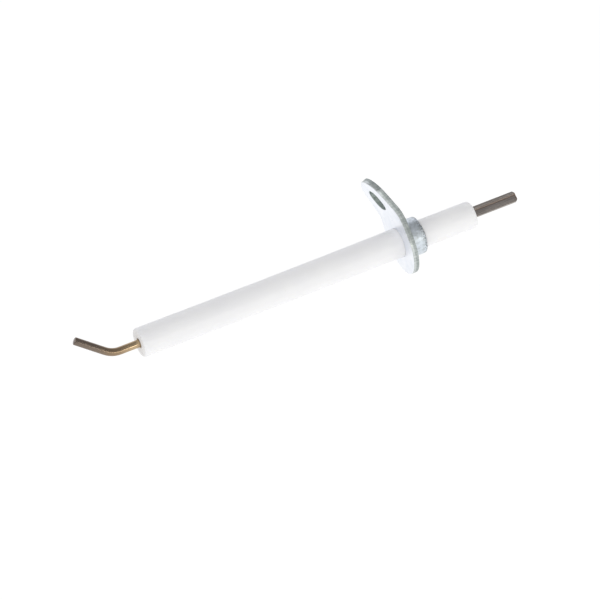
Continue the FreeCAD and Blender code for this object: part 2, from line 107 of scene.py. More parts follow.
# %% Read the mounts
mounts = {mount["name"]: mount for mount in frame["record"]["mounts"]}
TAIL_R = mounts["boot_seat"]["dims"]["r_mm"] * MM
TAIL_LENGTH = mounts["boot_seat"]["dims"]["length_mm"] * MM
GLAZE_EDGE = mounts["boot_seat"]["pos_m"][0] - TAIL_LENGTH / 2
TAIL_ROUND = TAIL_END - GLAZE_EDGE - TAIL_LENGTH

lug = mounts["lug_face"]
LUG_ANGLE = math.acos(-lug["axis"][0])
LUG_COS, LUG_SIN = math.cos(LUG_ANGLE), math.sin(LUG_ANGLE)
BEND_CORNER = lug["pos_m"][2] + lug["pos_m"][0] / math.tan(LUG_ANGLE)
SLOT_REACH = math.hypot(mounts["screw_slot"]["pos_m"][0], mounts["screw_slot"]["pos_m"][2] - BEND_CORNER)
print("tail round", round(TAIL_ROUND / MM, 2), "lug angle", round(math.degrees(LUG_ANGLE), 1),
      "bend corner", round(BEND_CORNER / MM, 2), "slot reach", round(SLOT_REACH / MM, 2))

# %% Sizes that no solid states by itself
NECK_R = TAIL_R - 0.2 * MM
RIM_BORE_R = TAIL_R + 0.15 * MM
SPIGOT_R = BUSH_BORE_R + 0.5 * MM
FLARE = 0.3 * MM
BUSH_ENTRY = 0.25 * MM
LIP_GAP = 0.03 * MM
BEND_RADIUS = 11.3 * MM
LUG_REACH = 4.8 * MM
SLOT_HALF_WIDTH = 2.4 * MM
SLOT_LENGTH = 6.0 * MM
ROD_REACH = 7.2 * MM
ROD_LEG = 10.2 * MM
ROD_TURN = math.radians(38.0)
ROD_BEND = 6.1 * MM
BLADE_HALF_WIDTH = 1.4 * MM
BLADE_HALF_THICK = 0.4 * MM
BLADE_SHIFT = 0.2 * MM
BLADE_ROLL = math.radians(-20.0)
BARREL_WALL = 0.45 * MM
BARREL_LENGTH = 4.0 * MM

# %% [markdown]
# ## Camera
# The probe is seen from its left front and a little above, with a long lens almost three metres away, so
# the far end is hardly smaller than the near one. The view is turned, which makes the tube climb to the
# right. A camera could be aimed by hand; working it out from angles keeps the view when the model changes.

# %% Place the camera
VIEW_AZIMUTH = math.radians(-16.809)
VIEW_ELEVATION = math.radians(5.987)
VIEW_ROLL = math.radians(-19.366)
VIEW_DISTANCE = 2.82
VIEW_WIDTH = 147.45 * MM
AIM_LEFT = 24.24 * MM
AIM_DOWN = 14.19 * MM
SENSOR_MM = 36.0

back = Vector((math.sin(VIEW_AZIMUTH) * math.cos(VIEW_ELEVATION),
               -math.cos(VIEW_AZIMUTH) * math.cos(VIEW_ELEVATION),
               math.sin(VIEW_ELEVATION)))
level_right = Vector((math.cos(VIEW_AZIMUTH), math.sin(VIEW_AZIMUTH), 0.0))
level_up = back.cross(level_right)
right = math.cos(VIEW_ROLL) * level_right + math.sin(VIEW_ROLL) * level_up
up = -math.sin(VIEW_ROLL) * level_right + math.cos(VIEW_ROLL) * level_up

place = back * VIEW_DISTANCE
aim = -AIM_LEFT * right - AIM_DOWN * up
look = (place - aim).normalized()
true_right = up.cross(look).normalized()
true_up = look.cross(true_right)
camera_data = bpy.data.cameras.new("studio_camera")
camera_data.sensor_width = SENSOR_MM
camera_data.lens = SENSOR_MM * VIEW_DISTANCE / VIEW_WIDTH
camera_data.clip_start = 0.1
camera_data.clip_end = 100.0
camera = bpy.data.objects.new("studio_camera", camera_data)
bpy.context.scene.collection.objects.link(camera)
turn = Matrix((true_right, true_up, look)).transposed().to_4x4()
camera.matrix_world = Matrix.Translation(place) @ turn
bpy.context.scene.camera = camera
print("lens mm:", round(camera_data.lens, 1))

# %% [markdown]
# ## Small tools for meshes
# Everything here is turned, swept, folded or punched, so a few tools make it: a corner rounder for any
# outline, a finisher that turns loose faces into a smooth shaded piece with its sharp edges kept, a lathe
# that spins a half profile about X, a skin between rings of points, and a divider for long stretches.

# %% Round the corners of an outline
def rounded(corners, steps=6):
    """Outline through (x, y, radius) corners, each corner turned into an arc of its radius."""
    points = []
    count = len(corners)
    for index, (x, y, radius) in enumerate(corners):
        here = Vector((x, y))
        before = Vector(corners[(index - 1) % count][:2]) - here
        after = Vector(corners[(index + 1) % count][:2]) - here
        if radius <= 0.0:
            points.append((x, y))
            continue
        half = before.angle(after) / 2
        reach = radius / math.tan(half)
        start = here + before.normalized() * reach
        end = here + after.normalized() * reach
        centre = here + (before.normalized() + after.normalized()).normalized() * radius / math.sin(half)
        first, last = start - centre, end - centre
        sweep = first.angle_signed(last)
        for step in range(steps + 1):
            arm = first.copy()
            arm.rotate(Matrix.Rotation(-sweep * step / steps, 2))
            points.append(tuple(centre + arm))
    return points


# %% Turn faces into a piece
def piece_from(name, mesh_builder, sharp_over=math.radians(40.0)):
    """Object made of a bmesh, smooth shaded, with edges sharper than an angle kept sharp."""
    bmesh.ops.remove_doubles(mesh_builder, verts=mesh_builder.verts, dist=1e-7)
    bmesh.ops.recalc_face_normals(mesh_builder, faces=mesh_builder.faces)
    for face in mesh_builder.faces:
        face.smooth = True
    for edge in mesh_builder.edges:
        if len(edge.link_faces) == 2:
            edge.smooth = edge.calc_face_angle(0.0) < sharp_over
    mesh = bpy.data.meshes.new(name)
    mesh_builder.to_mesh(mesh)
    mesh_builder.free()
    made = bpy.data.objects.new(name, mesh)
    bpy.context.scene.collection.objects.link(made)
    print(name, "faces:", len(mesh.polygons))
    return made


# %% Spin a half profile about X
def lathe(mesh_builder, profile, segments, shape=None, material=0):
    """Closed (along, radius) profile spun about X. shape(along, radius, turn) may move a point."""
    rings = []
    for segment in range(segments):
        turn_angle = 2 * math.pi * segment / segments
        ring = []
        for along, radius in profile:
            here, out = shape(along, radius, turn_angle) if shape else (along, radius)
            across, height = out * math.cos(turn_angle), out * math.sin(turn_angle)
            ring.append(mesh_builder.verts.new((here, across, height)))
        rings.append(ring)
    count = len(profile)
    for segment in range(segments):
        this, following = rings[segment], rings[(segment + 1) % segments]
        for index in range(count):
            corner = (index + 1) % count
            face = mesh_builder.faces.new((this[index], this[corner], following[corner], following[index]))
            face.material_index = material


# %% Join rings of points
def join_rings(mesh_builder, rings):
    """Skin between each ring of points and the one after it."""
    for ring, following in zip(rings[:-1], rings[1:]):
        for index in range(len(ring)):
            corner = (index + 1) % len(ring)
            mesh_builder.faces.new((ring[index], ring[corner], following[corner], following[index]))


# %% Divide long stretches of a profile
def divided(profile, longest):
    """Closed profile with points added so that no stretch is longer than a length."""
    points = []
    for (x, y), (next_x, next_y) in zip(profile, profile[1:] + profile[:1]):
        parts = max(1, math.ceil(math.hypot(next_x - x, next_y - y) / longest))
        points += [(x + (next_x - x) * part / parts, y + (next_y - y) * part / parts)
                   for part in range(parts)]
    return points


# %% [markdown]
# ## Small tools for materials
# A material is a little graph of nodes. One function adds any node, sets its inputs and links it, so each
# graph reads from top to bottom. Colours are written as the hex values that a screen shows, and one
# function turns them into the linear light that the renderer adds up.

# %% Colours and nodes
def linear(hex_colour):
    """Hex colour as linear red, green, blue and alpha."""
    channels = [int(hex_colour[index:index + 2], 16) / 255 for index in (1, 3, 5)]
    return [value / 12.92 if value <= 0.04045 else ((value + 0.055) / 1.055) ** 2.4
            for value in channels] + [1.0]


def add(tree, kind, inputs=None, stops=(), into=None, **settings):
    """Add a node with its inputs (values to set or sockets to link) and its settings.

    stops are the (position, hex colour) stops of a colour ramp. into is a socket that takes the output.
    """
    made = tree.nodes.new(kind)
    for name, value in settings.items():
        setattr(made, name, value)
    for name, value in (inputs or {}).items():
        if isinstance(value, bpy.types.NodeSocket):
            tree.links.new(value, made.inputs[name])
        else:
            made.inputs[name].default_value = value
    while stops and len(made.color_ramp.elements) < len(stops):
        made.color_ramp.elements.new(0.5)
    for index, (position, colour) in enumerate(stops):
        made.color_ramp.elements[index].position = position
        made.color_ramp.elements[index].color = linear(colour)
    if into is not None:
        tree.links.new(made.outputs[0], into)
    return made


def per_mm(size_mm):
    """Noise scale for features of about one size, since coordinates are in metres."""
    return 1.0 / (size_mm * MM)


def marks_per_mm(x, y, z):
    """Scale of a stretched pattern, as the number of marks in a millimetre along each axis."""
    return x / MM, y / MM, z / MM


def new_material(name):
    """Empty material with its shader and the place of each point in the object's own frame."""
    material = bpy.data.materials.new(name)
    material.use_nodes = True
    tree = material.node_tree
    shader = tree.nodes["Principled BSDF"]
    place_of = add(tree, "ShaderNodeTexCoord").outputs["Object"]
    return material, tree, shader, place_of


# %% [markdown]
# ## Glazed alumina
# The tube is alumina, pressed and fired, with a clear glaze fired over it. The body is dense and white and
# lets a little light in, so its shadows are soft. The glaze is satin and gives a broad, slightly wavy
# highlight. Its index of refraction is about that of glass, and it carries a faint orange peel.

# %% Glazed alumina
GLAZE_ROUGHNESS = 0.3
GLAZE_IOR = 1.52
glazed_alumina, tree, shader, place_of = new_material("glazed_alumina")
cloud = add(tree, "ShaderNodeTexNoise", {"Vector": place_of, "Scale": per_mm(9.0), "Detail": 3.0})
speck = add(tree, "ShaderNodeTexNoise", {"Vector": place_of, "Scale": per_mm(0.7), "Detail": 2.0})
body_colour = add(tree, "ShaderNodeValToRGB", {"Fac": cloud.outputs["Fac"]},
                  stops=[(0.3, "#F3F3F4"), (0.7, "#F7F7F7")]).outputs["Color"]
speck_mask = add(tree, "ShaderNodeValToRGB", {"Fac": speck.outputs["Fac"]},
                 stops=[(0.2, "#E4E2DC"), (0.25, "#FFFFFF")]).outputs["Color"]
toned = add(tree, "ShaderNodeMix", {0: 0.5, 6: body_colour, 7: speck_mask}, data_type="RGBA",
            blend_type="MULTIPLY")
peel = add(tree, "ShaderNodeTexNoise", {"Vector": place_of, "Scale": per_mm(1.6), "Detail": 2.0})
bump = add(tree, "ShaderNodeBump", {"Height": peel.outputs["Fac"], "Strength": 0.05, "Distance": 0.05 * MM})
tree.links.new(toned.outputs[2], shader.inputs["Base Color"])
add(tree, "ShaderNodeMapRange", {"Value": cloud.outputs["Fac"], "To Min": GLAZE_ROUGHNESS - 0.03,
                                 "To Max": GLAZE_ROUGHNESS + 0.05}, into=shader.inputs["Roughness"])
tree.links.new(bump.outputs["Normal"], shader.inputs["Normal"])
shader.inputs["IOR"].default_value = GLAZE_IOR
shader.inputs["Subsurface Weight"].default_value = 0.12
shader.inputs["Subsurface Radius"].default_value = (0.9, 0.9, 1.0)
shader.inputs["Subsurface Scale"].default_value = 1.0 * MM
print("glaze roughness about", GLAZE_ROUGHNESS)

# %% [markdown]
# ## Bare alumina
# The saw cut at the flame end, the bore and the socket carry no glaze. Fired alumina without glaze is a
# fine matt biscuit, a little warmer than the glazed skin.

# %% Bare alumina
bare_alumina, tree, shader, place_of = new_material("bare_alumina")
grain = add(tree, "ShaderNodeTexNoise", {"Vector": place_of, "Scale": per_mm(0.35), "Detail": 4.0})
add(tree, "ShaderNodeValToRGB", {"Fac": grain.outputs["Fac"]},
    stops=[(0.3, "#F2F1F0"), (0.7, "#FAF9F8")], into=shader.inputs["Base Color"])
add(tree, "ShaderNodeMapRange", {"Value": grain.outputs["Fac"], "To Min": 0.5, "To Max": 0.7},
    into=shader.inputs["Roughness"])
bump = add(tree, "ShaderNodeBump", {"Height": grain.outputs["Fac"], "Strength": 0.15, "Distance": 0.04 * MM})
tree.links.new(bump.outputs["Normal"], shader.inputs["Normal"])
shader.inputs["IOR"].default_value = 1.6

# %% [markdown]
# ## Insulator
# The tube is a solid of revolution, so it is spun from half its section. A cylinder with a hole would do
# from far away, but the section also holds the rounded tail, the broken edge at the flame end, the edge of
# the glaze, the hidden belt and the socket for the terminal. Long stretches are divided and drawn in by a
# few hundredths of a millimetre, and the tube sags by a tenth in its middle, because a fired tube is never
# quite straight and its highlight shows it.

# %% Insulator section
MOUTH_BREAK = 0.45 * MM
BELT_BREAK = 0.2 * MM
TUBE_REST = 0.07 * MM
TUBE_BOW = 0.12 * MM
SKIN_DIP = 0.03 * MM
DIP_LENGTH = 11 * MM
DIPS_AROUND = 0.7
insulator_section = rounded([
    (FLAME_END, BORE_R, MOUTH_BREAK * 0.5),
    (FLAME_END, TUBE_R, MOUTH_BREAK),
    (BELT_FRONT, TUBE_R, 0.0),
    (BELT_FRONT, BELT_R, BELT_BREAK),
    (BELT_BACK, BELT_R, BELT_BREAK),
    (BELT_BACK, NECK_R, 0.0),
    (GLAZE_EDGE, NECK_R, 0.0),
    (GLAZE_EDGE, TAIL_R, 0.05 * MM),
    (TAIL_END, TAIL_R, TAIL_ROUND),
    (TAIL_END, SOCKET_R, 0.2 * MM),
    (SOCKET_FLOOR, SOCKET_R, 0.0),
    (SOCKET_FLOOR, BORE_R, 0.0),
], steps=8)
insulator_section = divided(insulator_section, 3.0 * MM)


def fired(along, radius, turn_angle):
    """Pull the glazed skin in by a slow unevenness, and leave the bore and the bush's seat alone."""
    skin = radius > TAIL_R - 0.01 * MM and (along < SEAT_FRONT - 2 * MM or along > BUSH_BACK + 2 * MM)
    if not skin:
        return along, radius
    across, height = math.cos(turn_angle) * DIPS_AROUND, math.sin(turn_angle) * DIPS_AROUND
    dip = 0.5 + 0.5 * noise.noise(Vector((along / DIP_LENGTH, across, height)))
    return along, radius - SKIN_DIP * dip


# %% Spin the insulator
builder = bmesh.new()
lathe(builder, insulator_section, segments=128, shape=fired)
for face in builder.faces:
    middle = face.calc_center_median()
    radius = math.hypot(middle.y, middle.z)
    at_mouth = middle.x < FLAME_END + 0.02 * MM
    inside = radius < TAIL_R - 0.02 * MM and middle.x < TAIL_END - TAIL_ROUND
    face.material_index = 1 if at_mouth or inside or radius < SOCKET_R + 0.01 * MM else 0
for point in builder.verts:
    from_seat = min(1.0, max(0.0, point.co.x / FLAME_END))
    point.co.z -= TUBE_REST + TUBE_BOW * math.sin(math.pi * from_seat)
insulator = piece_from("insulator_glazed_tube", builder)
insulator.data.materials.append(glazed_alumina)
insulator.data.materials.append(bare_alumina)
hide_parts("ceramic_insulator")
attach(insulator, "root")

# %% [markdown]
# ## Heat-resisting wire
# The electrode is drawn iron-chromium-aluminium wire. It is delivered bright, but the maker's heating leaves
# a brown oxide skin that is thin and golden by the ceramic and thicker and darker towards the tip. Drawing
# leaves fine lines along the wire. Under its oxide it is still a metal, so it keeps the default index.

# %% Heat-resisting wire
oxidised_wire, tree, shader, place_of = new_material("oxidised_drawn_wire")
axes = add(tree, "ShaderNodeSeparateXYZ", {"Vector": place_of})
heat = add(tree, "ShaderNodeTexNoise", {"Vector": place_of, "Scale": per_mm(3.5), "Detail": 4.0})
along_wire = add(tree, "ShaderNodeMapRange",
                 {"Value": axes.outputs["X"], "From Min": FLAME_END - ROD_REACH - ROD_LEG,
                  "From Max": FLAME_END}).outputs["Result"]
heated = add(tree, "ShaderNodeMath", {0: heat.outputs["Fac"], 1: 0.22, 2: along_wire},
             operation="MULTIPLY_ADD")
wire_colour = add(tree, "ShaderNodeValToRGB", {"Fac": heated.outputs[0]},
                  stops=[(0.1, "#786C64"), (0.5, "#83766A"), (0.72, "#98836B"),
                         (0.95, "#BDA685")]).outputs["Color"]
draw_lines = add(tree, "ShaderNodeMapping", {"Vector": place_of, "Scale": marks_per_mm(0.04, 2.6, 2.6)})
lines = add(tree, "ShaderNodeTexNoise", {"Vector": draw_lines.outputs["Vector"], "Scale": 1.0, "Detail": 3.0})
skin = add(tree, "ShaderNodeValToRGB", {"Fac": lines.outputs["Fac"]},
           stops=[(0.3, "#E6E3E0"), (0.65, "#FFFFFF")]).outputs["Color"]
worn = add(tree, "ShaderNodeMix", {0: 0.35, 6: wire_colour, 7: skin}, data_type="RGBA", blend_type="MULTIPLY")
bump = add(tree, "ShaderNodeBump", {"Height": lines.outputs["Fac"], "Strength": 0.02, "Distance": 0.02 * MM})
tree.links.new(worn.outputs[2], shader.inputs["Base Color"])
add(tree, "ShaderNodeMapRange", {"Value": heat.outputs["Fac"], "To Min": 0.18, "To Max": 0.26},
    into=shader.inputs["Roughness"])
tree.links.new(bump.outputs["Normal"], shader.inputs["Normal"])
shader.inputs["Metallic"].default_value = 1.0

# %% [markdown]
# ## Electrode
# The wire comes out of the bore, turns up through a bend and ends in a sheared tip. A curve with a round
# bevel would sweep it, but its ends would be flat discs. Here rings of points are carried along the same
# straight, arc and straight, so the ends can be rounded as a cropping tool leaves them.

# %% Electrode path
BEND_TRIM = ROD_BEND * math.tan(ROD_TURN / 2)
ROD_CORNER = FLAME_END - ROD_REACH


def wire_place(distance):
    """Place and heading on the wire's centreline, at a distance from its hidden end."""
    straight = ROD_BACK - (ROD_CORNER + BEND_TRIM)
    if distance < straight:
        return Vector((ROD_BACK - distance, 0.0, 0.0)), Vector((-1.0, 0.0, 0.0))
    turned = min((distance - straight) / ROD_BEND, ROD_TURN)
    heading = Vector((-math.cos(turned), 0.0, math.sin(turned)))
    on_arc = Vector((ROD_BACK - straight - ROD_BEND * math.sin(turned), 0.0,
                     ROD_BEND * (1 - math.cos(turned))))
    return on_arc + heading * max(0.0, distance - straight - ROD_BEND * ROD_TURN), heading


WIRE_LENGTH = ROD_BACK - ROD_CORNER - BEND_TRIM + ROD_BEND * ROD_TURN + ROD_LEG - BEND_TRIM
print("wire length, mm:", round(WIRE_LENGTH / MM, 2))

# %% Sweep the electrode
CROP_ROUND = 0.25 * MM
ROD_REST = 0.1 * MM
SIDES = 48
PIECES_ALONG = 150
stations = [(0.0, ROD_R - CROP_ROUND)]
for step in range(1, 5):
    swing = math.pi / 2 * step / 4
    stations.append((CROP_ROUND * (1 - math.cos(swing)), ROD_R - CROP_ROUND * (1 - math.sin(swing))))
for step in range(1, PIECES_ALONG):
    stations.append((CROP_ROUND + (WIRE_LENGTH - 2 * CROP_ROUND) * step / PIECES_ALONG, ROD_R))
stations += [(WIRE_LENGTH - distance, radius) for distance, radius in reversed(stations[:5])]

builder = bmesh.new()
rings = []
for distance, radius in stations:
    centre, heading = wire_place(distance)
    side = Vector((0.0, 1.0, 0.0))
    lift = heading.cross(side)
    rings.append([builder.verts.new(centre + radius * (math.cos(2 * math.pi * index / SIDES) * side
                                                       + math.sin(2 * math.pi * index / SIDES) * lift))
                  for index in range(SIDES)])
join_rings(builder, rings)
builder.faces.new(rings[0])
builder.faces.new(rings[-1])
bmesh.ops.translate(builder, verts=builder.verts, vec=(0.0, 0.0, -ROD_REST))
electrode = piece_from("electrode_wire", builder)
electrode.data.materials.append(oxidised_wire)
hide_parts("electrode_rod")
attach(electrode, "root")

# %% [markdown]
# ## Zinc plate with a clear blue passivation
# The bracket is punched from rolled strip and barrel plated. Zinc is a pale metal; the passivation over it
# adds a faint blue. Tumbling with other parts leaves it satin, with cloudy patches and small scuffs. The
# punched edge is different: a short smooth band, then a torn band that plates rough and looks greyer.
# The slot's walls get a darker zinc still, which is painted shade for the inside of the slot.

# %% Zinc on rolled strip
zinc_face, tree, shader, place_of = new_material("zinc_plate_rolled_face")
patch = add(tree, "ShaderNodeTexNoise", {"Vector": place_of, "Scale": per_mm(2.6), "Detail": 5.0})
crystal = add(tree, "ShaderNodeTexVoronoi", {"Vector": place_of, "Scale": per_mm(0.45)})
scuff_space = add(tree, "ShaderNodeMapping", {"Vector": place_of, "Rotation": (0.5, 0.0, 0.0),
                                              "Scale": marks_per_mm(0.9, 0.32, 1.5)})
scuff = add(tree, "ShaderNodeTexNoise", {"Vector": scuff_space.outputs["Vector"], "Scale": 1.0,
                                         "Detail": 3.0})
clouded = add(tree, "ShaderNodeValToRGB", {"Fac": patch.outputs["Fac"]},
              stops=[(0.25, "#E6EBF3"), (0.5, "#F0F3F9"), (0.75, "#F8FAFD")]).outputs["Color"]
scuffed = add(tree, "ShaderNodeValToRGB", {"Fac": scuff.outputs["Fac"]},
              stops=[(0.2, "#A4AFB8"), (0.27, "#FFFFFF")]).outputs["Color"]
toned = add(tree, "ShaderNodeMix", {0: 0.75, 6: clouded, 7: scuffed}, data_type="RGBA", blend_type="MULTIPLY")
bump = add(tree, "ShaderNodeBump", {"Height": crystal.outputs["Distance"], "Strength": 0.02,
                                    "Distance": 0.02 * MM})
tree.links.new(toned.outputs[2], shader.inputs["Base Color"])
add(tree, "ShaderNodeMapRange", {"Value": patch.outputs["Fac"], "To Min": 0.26, "To Max": 0.38},
    into=shader.inputs["Roughness"])
tree.links.new(bump.outputs["Normal"], shader.inputs["Normal"])
shader.inputs["Metallic"].default_value = 1.0

# %% Zinc on the punched edge
def punched_zinc(name, tones, rough_low, rough_high, bump_strength):
    """Zinc over a punched edge, streaked through the thickness of the sheet."""
    material, tree, shader, place_of = new_material(name)
    tear = add(tree, "ShaderNodeTexNoise", {"Vector": place_of, "Scale": per_mm(0.6), "Detail": 4.0})
    streak_space = add(tree, "ShaderNodeMapping", {"Vector": place_of, "Scale": marks_per_mm(0.45, 2.4, 2.4)})
    streaks = add(tree, "ShaderNodeTexNoise", {"Vector": streak_space.outputs["Vector"], "Scale": 1.0,
                                               "Detail": 3.0})
    mixed = add(tree, "ShaderNodeMix", {0: 0.5, 2: tear.outputs["Fac"], 3: streaks.outputs["Fac"]})
    low, middle, high = tones
    add(tree, "ShaderNodeValToRGB", {"Fac": mixed.outputs[0]},
        stops=[(0.35, low), (0.5, middle), (0.65, high)], into=shader.inputs["Base Color"])
    add(tree, "ShaderNodeMapRange", {"Value": tear.outputs["Fac"], "To Min": rough_low, "To Max": rough_high},
        into=shader.inputs["Roughness"])
    bump = add(tree, "ShaderNodeBump", {"Height": streaks.outputs["Fac"], "Strength": bump_strength,
                                        "Distance": 0.05 * MM})
    tree.links.new(bump.outputs["Normal"], shader.inputs["Normal"])
    shader.inputs["Metallic"].default_value = 1.0
    return material


zinc_sheared = punched_zinc("zinc_plate_sheared_band", ("#B2BAB8", "#C3C9C7", "#D4D9D8"), 0.28, 0.4, 0.2)
zinc_torn = punched_zinc("zinc_plate_torn_band", ("#969E9C", "#AAB1AF", "#C0C6C4"), 0.4, 0.56, 0.5)
# Painted shade: the slot's walls get this darker, rougher zinc, which stands for the shade inside the slot.
zinc_slot_shade = punched_zinc("zinc_plate_slot_painted_shade", ("#8B9691", "#9DA7A3", "#B2BBB8"), 0.45, 0.6, 0.4)

# %% [markdown]
# ## Bracket
# A real bracket is punched flat and then bent, and it is made here in the same order. Rings of points run
# round the outline, the slot and the hole at several depths, which gives rounded edges. The two flat faces
# are filled between the rings, cut across where the bend goes, and then every point is wrapped round the
# bend. Making it bent from the start would put the slot's walls at a wrong slant.

# %% Flat outlines
LUG_TOP = (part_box("mounting_plate")[1][2] - BEND_CORNER - PLATE_T * LUG_SIN) / LUG_COS
TIP_R = LUG_TOP - LUG_REACH
BEND_START = BEND_CORNER - BEND_RADIUS * math.tan(LUG_ANGLE / 2)
BEND_END = BEND_START + BEND_RADIUS * LUG_ANGLE
BEND_SAVING = 2 * BEND_RADIUS * math.tan(LUG_ANGLE / 2) - BEND_RADIUS * LUG_ANGLE
TIP_CENTRE = BEND_CORNER + LUG_REACH - BEND_SAVING
SLOT_CENTRE = BEND_CORNER + SLOT_REACH - BEND_SAVING
FLANK_LEAN = math.asin((DISC_R - TIP_R) / TIP_CENTRE)


def arc(centre_y, centre_z, radius, start, end, steps):
    """Points on an arc in the flat sheet."""
    return [(centre_y + radius * math.cos(start + (end - start) * step / steps),
             centre_z + radius * math.sin(start + (end - start) * step / steps)) for step in range(steps + 1)]


def sheet_outline(inset):
    """Pear-shaped outline, drawn in by an inset."""
    tip = arc(0.0, TIP_CENTRE, TIP_R - inset, FLANK_LEAN, math.pi - FLANK_LEAN, 48)
    disc = arc(0.0, 0.0, DISC_R - inset, math.pi - FLANK_LEAN, 2 * math.pi + FLANK_LEAN, 96)
    return tip + disc


def slot_outline(inset):
    """Screw slot, opened out by an inset."""
    straight = (SLOT_LENGTH - 2 * SLOT_HALF_WIDTH) / 2
    radius = SLOT_HALF_WIDTH + inset
    return (arc(0.0, SLOT_CENTRE + straight, radius, 0.0, math.pi, 32)
            + arc(0.0, SLOT_CENTRE - straight, radius, math.pi, 2 * math.pi, 32))


def hole_outline(inset):
    """Hole for the bush."""
    return arc(0.0, 0.0, SPIGOT_R + inset, 0.0, 2 * math.pi, 72)[:-1]


print("tip radius, mm:", round(TIP_R / MM, 2), "flank lean:", round(math.degrees(FLANK_LEAN), 2))

# %% Bend the sheet
def bent(point):
    """Where a point of the flat sheet goes: x is depth from the flame-side face, z runs up the sheet."""
    depth, across, height = point
    if height <= BEND_START:
        return Vector((depth, across, height))
    turned = min((height - BEND_START) / BEND_RADIUS, LUG_ANGLE)
    beyond = max(0.0, height - BEND_END)
    reach = BEND_RADIUS + depth
    return Vector((reach * math.cos(turned) - BEND_RADIUS - beyond * LUG_SIN,
                   across,
                   BEND_START + reach * math.sin(turned) + beyond * LUG_COS))


# %% Punch and bend the bracket
OUTLINE_ROLL = 0.2 * MM
SLOT_ROLL = 0.22 * MM
BURR_ROUND = 0.06 * MM
SHEARED_SHARE = 0.45
BEND_CUTS = 28
BRIGHT_STEPS = 3
FACE, SHEARED, TORN, SLOT_SHADE = range(4)


def edge_rings(roll):
    """(inset, depth) of rings down a punched wall: the roll, the sheared and torn bands, the burr."""
    steps = [math.pi / 2 * step / 5 for step in range(6)]
    rings_down = [(roll * (1 - math.sin(swing)), roll * (1 - math.cos(swing))) for swing in steps]
    rings_down += [(0.0, PLATE_T * part) for part in (0.3, SHEARED_SHARE, 0.62, 0.8)]
    rings_down += [(BURR_ROUND * (1 - math.cos(swing)), PLATE_T - BURR_ROUND * (1 - math.sin(swing)))
                   for swing in (0.0, math.pi / 4, math.pi / 2)]
    return rings_down


builder = bmesh.new()
front_edges, back_edges = [], []
for outline, rings_used in ((sheet_outline, edge_rings(OUTLINE_ROLL)), (slot_outline, edge_rings(SLOT_ROLL)),
                            (hole_outline, [(FLARE, 0.0), (0.0, FLARE), (0.0, PLATE_T)])):
    rings = [[builder.verts.new((depth, across, height)) for across, height in outline(inset)]
             for inset, depth in rings_used]
    for step, (ring, following) in enumerate(zip(rings[:-1], rings[1:])):
        depth = rings_used[step][1]
        for index in range(len(ring)):
            corner = (index + 1) % len(ring)
            wall = builder.faces.new((ring[index], ring[corner], following[corner], following[index]))
            in_sheared = depth < PLATE_T * SHEARED_SHARE - 1e-9
            wall.material_index = FACE if step < BRIGHT_STEPS else SHEARED if in_sheared else TORN
            # Painted shade: past the rolled edge, the slot's walls take the darker zinc that stands for shade
            # in the slot.
            if outline is slot_outline and step >= BRIGHT_STEPS:
                wall.material_index = SLOT_SHADE
    for ring, edges in ((rings[0], front_edges), (rings[-1], back_edges)):
        edges += [builder.edges.get((ring[index], ring[(index + 1) % len(ring)]))
                  for index in range(len(ring))]
for edges in (front_edges, back_edges):
    bmesh.ops.triangle_fill(builder, edges=edges, use_beauty=True, use_dissolve=False)
for step in range(BEND_CUTS + 1):
    height = BEND_START + (BEND_END - BEND_START) * step / BEND_CUTS
    bmesh.ops.bisect_plane(builder, geom=builder.verts[:] + builder.edges[:] + builder.faces[:],
                           plane_co=(0.0, 0.0, height), plane_no=(0.0, 0.0, 1.0), dist=1e-7)
for point in builder.verts:
    point.co = bent(point.co)
bracket = piece_from("bracket_punched_plate", builder, sharp_over=math.radians(30.0))
for finish in (zinc_face, zinc_sheared, zinc_torn, zinc_slot_shade):
    bracket.data.materials.append(finish)
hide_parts("mounting_plate")
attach(bracket, "root")

# %% [markdown]
# ## Bush
# The bush is turned from bar, swaged into the bracket, and its rim is crimped down behind the ceramic's
# belt. Turning leaves rings round it, and the crimping tool leaves a bruised, uneven rim with short nicks.
# The nicks are real geometry, because they break the outline of the rim; the turning rings are too fine
# for that and are left to the material. The front lip lies in the bracket's face and closes on the tube.

# %% Turned and crimped zinc
zinc_turned, tree, shader, place_of = new_material("zinc_plate_turned_bush")
ring_space = add(tree, "ShaderNodeMapping", {"Vector": place_of, "Scale": marks_per_mm(6.5, 0.26, 0.26)})
turning = add(tree, "ShaderNodeTexNoise", {"Vector": ring_space.outputs["Vector"], "Scale": 1.0,
                                           "Detail": 3.0})
bruise = add(tree, "ShaderNodeTexNoise", {"Vector": place_of, "Scale": per_mm(0.8), "Detail": 5.0})
axes = add(tree, "ShaderNodeSeparateXYZ", {"Vector": place_of})
toned = add(tree, "ShaderNodeValToRGB", {"Fac": bruise.outputs["Fac"]},
            stops=[(0.3, "#BAC1C2"), (0.5, "#D0D8DE"), (0.7, "#E0E7ED")]).outputs["Color"]
rim_zone = add(tree, "ShaderNodeMapRange",
               {"Value": axes.outputs["X"], "From Min": BUSH_BACK - 1.1 * MM,
                "From Max": BUSH_BACK - 0.15 * MM}).outputs["Result"]
fleck = add(tree, "ShaderNodeTexNoise", {"Vector": place_of, "Scale": per_mm(0.32), "Detail": 3.0})
fleck_mask = add(tree, "ShaderNodeValToRGB", {"Fac": fleck.outputs["Fac"]},
                 stops=[(0.4, "#3E423C"), (0.56, "#FFFFFF")]).outputs["Color"]
flecked = add(tree, "ShaderNodeMix", {0: rim_zone, 6: toned, 7: fleck_mask}, data_type="RGBA",
              blend_type="MULTIPLY")
bump = add(tree, "ShaderNodeBump", {"Height": turning.outputs["Fac"], "Strength": 0.3, "Distance": 0.03 * MM})
tree.links.new(flecked.outputs[2], shader.inputs["Base Color"])
add(tree, "ShaderNodeMapRange", {"Value": bruise.outputs["Fac"], "To Min": 0.26, "To Max": 0.45},
    into=shader.inputs["Roughness"])
tree.links.new(bump.outputs["Normal"], shader.inputs["Normal"])
shader.inputs["Metallic"].default_value = 1.0

